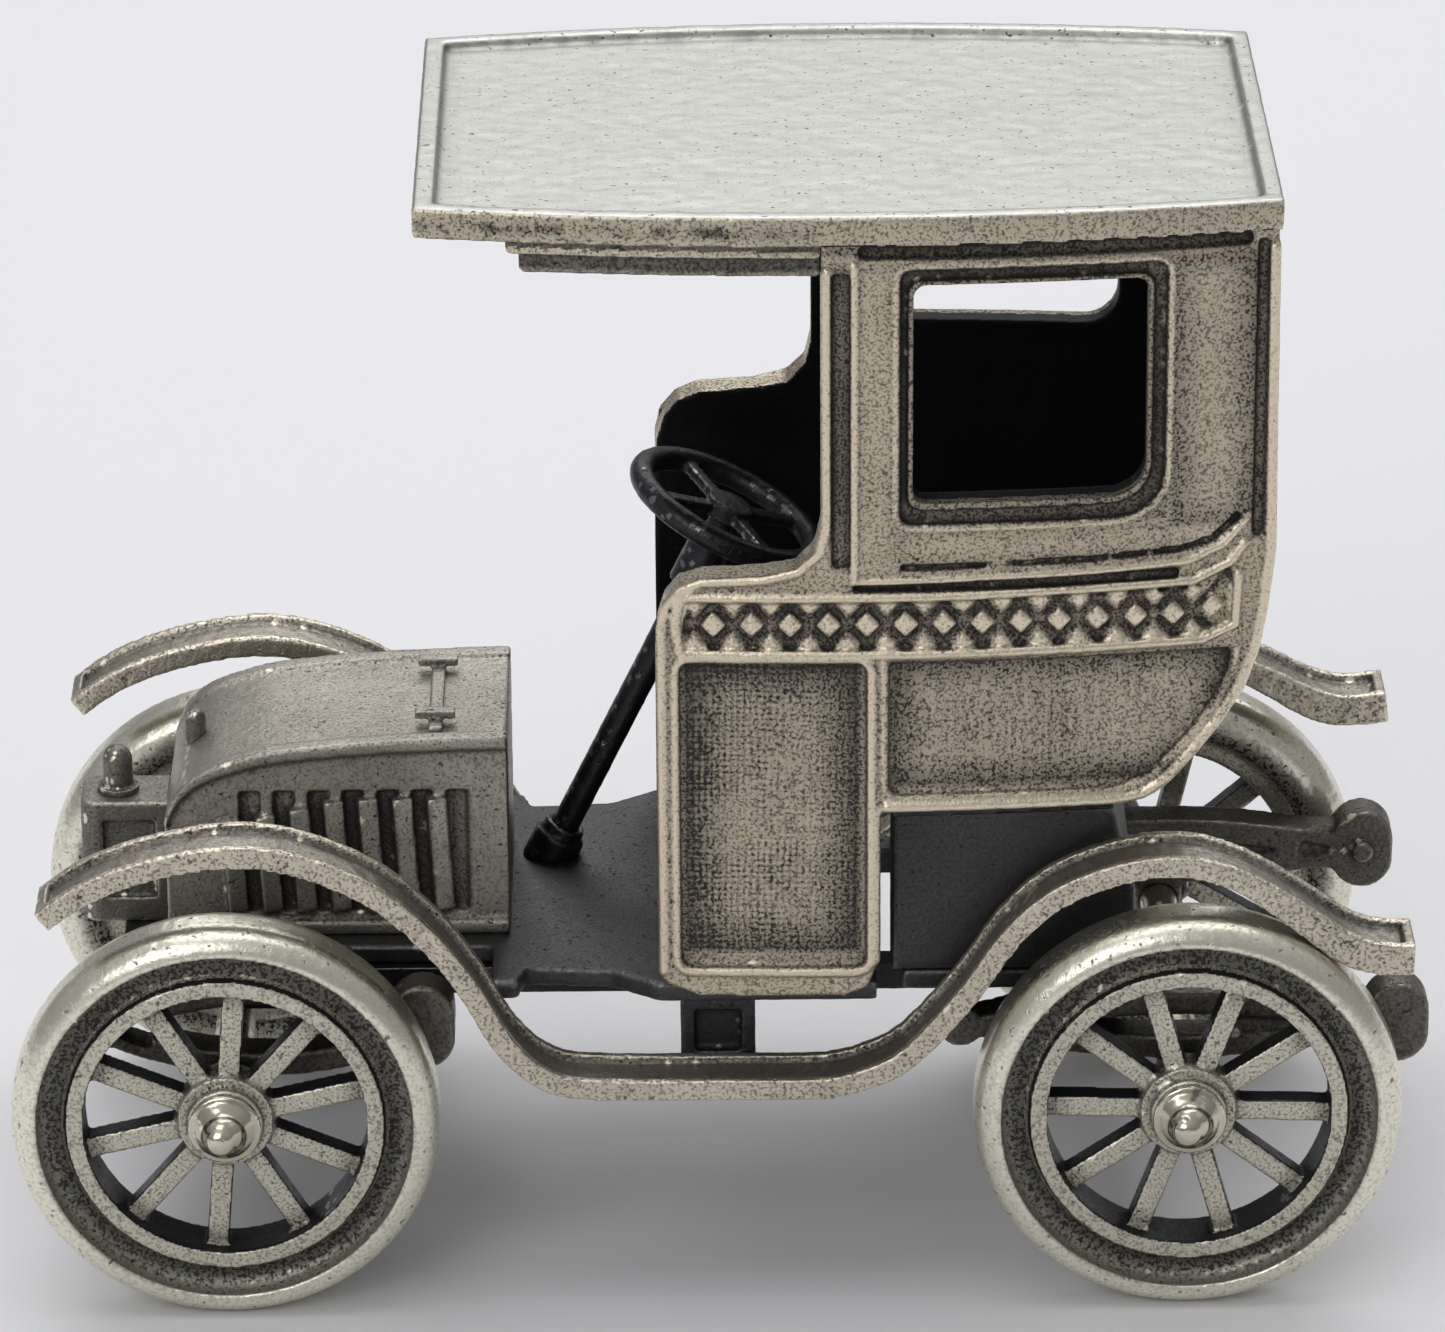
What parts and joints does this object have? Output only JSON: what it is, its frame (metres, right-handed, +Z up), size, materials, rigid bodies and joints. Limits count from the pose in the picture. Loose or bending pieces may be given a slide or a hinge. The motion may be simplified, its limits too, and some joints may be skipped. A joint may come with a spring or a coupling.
{
  "type": "cast metal miniature car",
  "caption": "Cast white-metal miniature of an early open-driver town car: bowed cab with lattice band, peaked hood, swept fenders, leaf springs and free-turning spoked wheels.",
  "frame": {"origin": "on the ground under the wheels, midway along and across the model", "axes": "+X to the front of the car, +Y to its left side, +Z up"},
  "size_m": [0.056, 0.0264, 0.0459],
  "materials": {
    "relief_casting": "antiqued cast white metal, bright ridges over dark oxidised pores",
    "satin_casting": "satin brushed cast white metal",
    "polished_casting": "smoothly polished, slightly yellow cast white metal",
    "dark_casting": "blackened cast white metal"
  },
  "bodies": {
    "car": {"floor_pan": "dark_casting", "rear_platform": "dark_casting", "chassis_rail_left": "dark_casting", "chassis_rail_right": "dark_casting", "crossbar_front": "dark_casting", "crossbar_rear": "dark_casting", "hood": "satin_casting", "hood_strap": "satin_casting", "radiator_tank": "dark_casting", "filler_cap": "satin_casting", "nose_knob": "satin_casting", "side_panel_left": "relief_casting", "side_panel_right": "relief_casting", "rear_panel": "satin_casting", "roof": "satin_casting", "canopy_ceiling": "satin_casting", "cabin_floor": "dark_casting", "under_seat_box": "dark_casting", "fender_left": "satin_casting", "fender_right": "satin_casting", "board_brackets": "dark_casting", "spring_front_left": "dark_casting", "spring_front_right": "dark_casting", "spring_rear_left": "dark_casting", "spring_rear_right": "dark_casting", "spring_hangers": "dark_casting", "axle_front": "polished_casting", "axle_rear": "polished_casting", "axle_washers": "dark_casting", "column_boss": "dark_casting", "steering_wheel": "dark_casting"},
    "wheel_front_left": {"wheel_front_left": "polished_casting"},
    "wheel_front_right": {"wheel_front_right": "polished_casting"},
    "wheel_rear_left": {"wheel_rear_left": "polished_casting"},
    "wheel_rear_right": {"wheel_rear_right": "polished_casting"}
  },
  "joints": [
    {"name": "wheel_front_left_spin", "type": "hinge", "parent": "car", "child": "wheel_front_left", "pos_m": [0.0198, 0.0111, 0.00845], "axis": [0, 1, 0], "continuous": true},
    {"name": "wheel_front_right_spin", "type": "hinge", "parent": "car", "child": "wheel_front_right", "pos_m": [0.0198, -0.0111, 0.00845], "axis": [0, 1, 0], "continuous": true},
    {"name": "wheel_rear_left_spin", "type": "hinge", "parent": "car", "child": "wheel_rear_left", "pos_m": [-0.0181, 0.0111, 0.00845], "axis": [0, 1, 0], "continuous": true},
    {"name": "wheel_rear_right_spin", "type": "hinge", "parent": "car", "child": "wheel_rear_right", "pos_m": [-0.0181, -0.0111, 0.00845], "axis": [0, 1, 0], "continuous": true}
  ]
}
